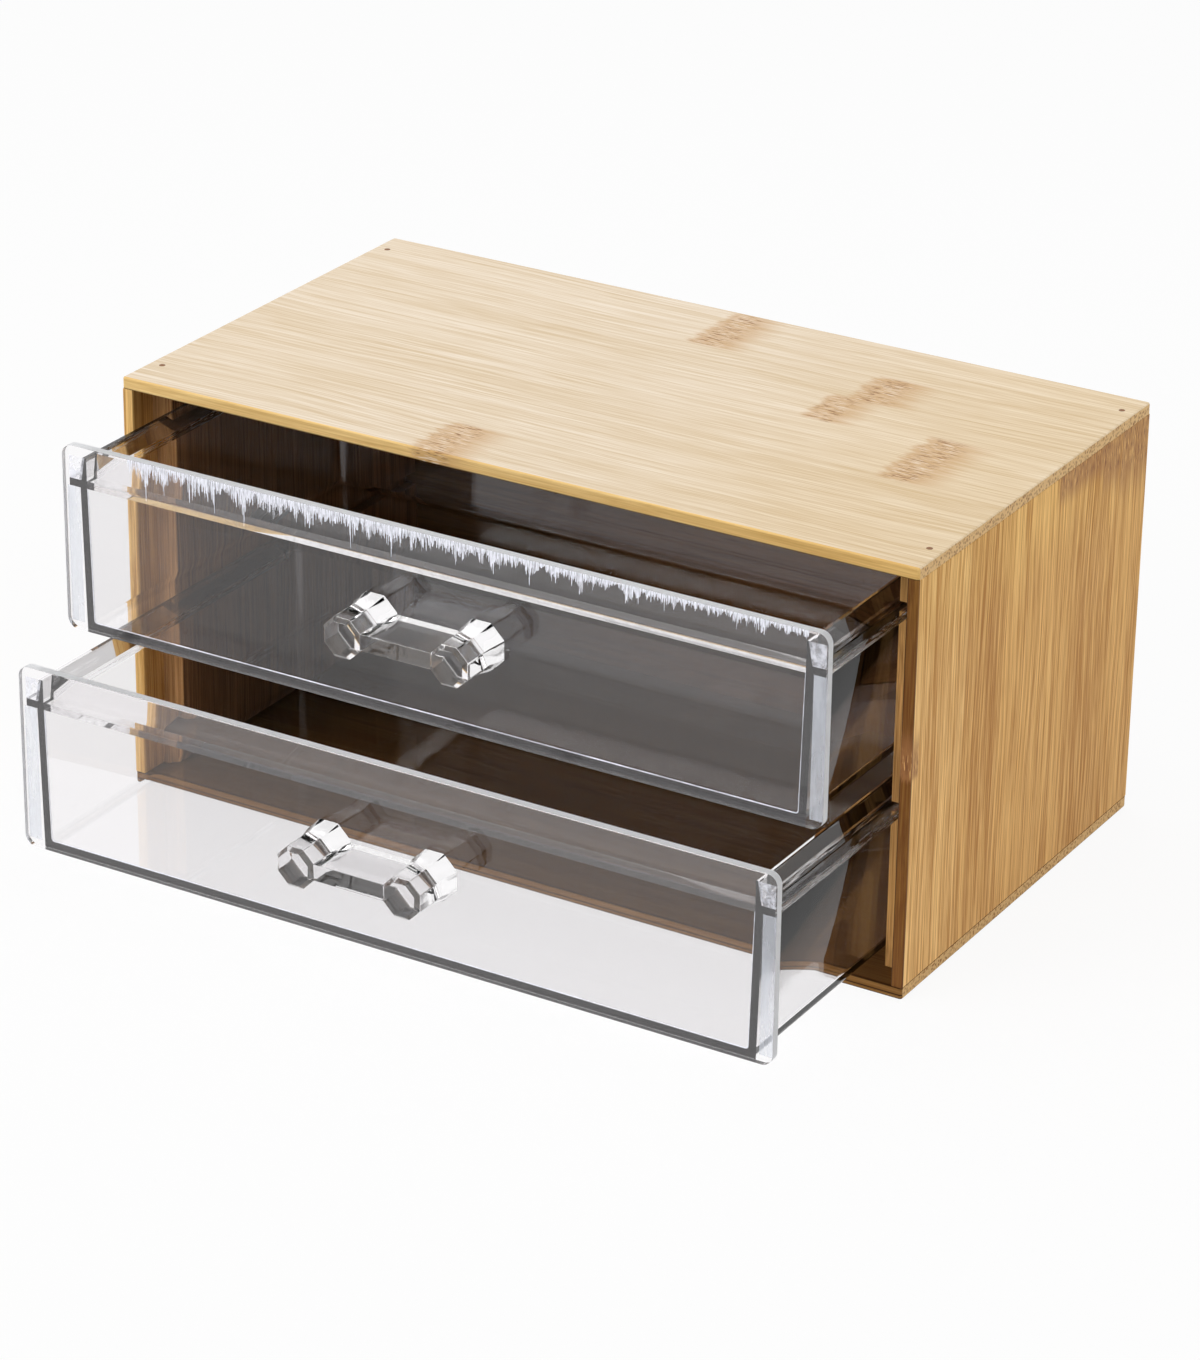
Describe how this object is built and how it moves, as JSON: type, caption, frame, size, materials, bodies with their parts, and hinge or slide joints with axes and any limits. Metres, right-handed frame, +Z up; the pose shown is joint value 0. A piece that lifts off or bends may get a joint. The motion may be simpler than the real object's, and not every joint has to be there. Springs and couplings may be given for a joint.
{
  "type": "cosmetic storage chest",
  "caption": "Bamboo cosmetic chest with clear plastic drawers that slide on runners in grooved guide boards, flat clear fronts and faceted post handles.",
  "frame": {"origin": "centre of the case's underside, where it stands on the table", "axes": "+Z up, +X to the right of a person facing the drawers, drawers open towards -Y"},
  "size_m": [0.225, 0.193, 0.112],
  "materials": {
    "bamboo": "sanded and clear-sealed, satin",
    "brad_steel": "dull, darkened",
    "clear_tray": "clear, moulded, glossy",
    "clear_front": "clear sheet, glossy",
    "clear_handle": "clear, moulded, glossy"
  },
  "bodies": {
    "case": {"top_board": "bamboo", "bottom_board": "bamboo", "left_side_board": "bamboo", "right_side_board": "bamboo", "left_guide_board": "bamboo", "right_guide_board": "bamboo", "back_board": "bamboo", "top_brads": "brad_steel", "bottom_brads": "brad_steel"},
    "upper_drawer": {"upper_drawer_tray": "clear_tray", "upper_drawer_front": "clear_front", "upper_drawer_handle": "clear_handle"},
    "lower_drawer": {"lower_drawer_tray": "clear_tray", "lower_drawer_front": "clear_front", "lower_drawer_handle": "clear_handle"}
  },
  "joints": [
    {"name": "upper_drawer_slide", "type": "slide", "parent": "case", "child": "upper_drawer", "axis": [0, -1, 0], "range_m": [-0.0386, 0.0464]},
    {"name": "lower_drawer_slide", "type": "slide", "parent": "case", "child": "lower_drawer", "axis": [0, -1, 0], "range_m": [-0.0593, 0.0257]}
  ]
}
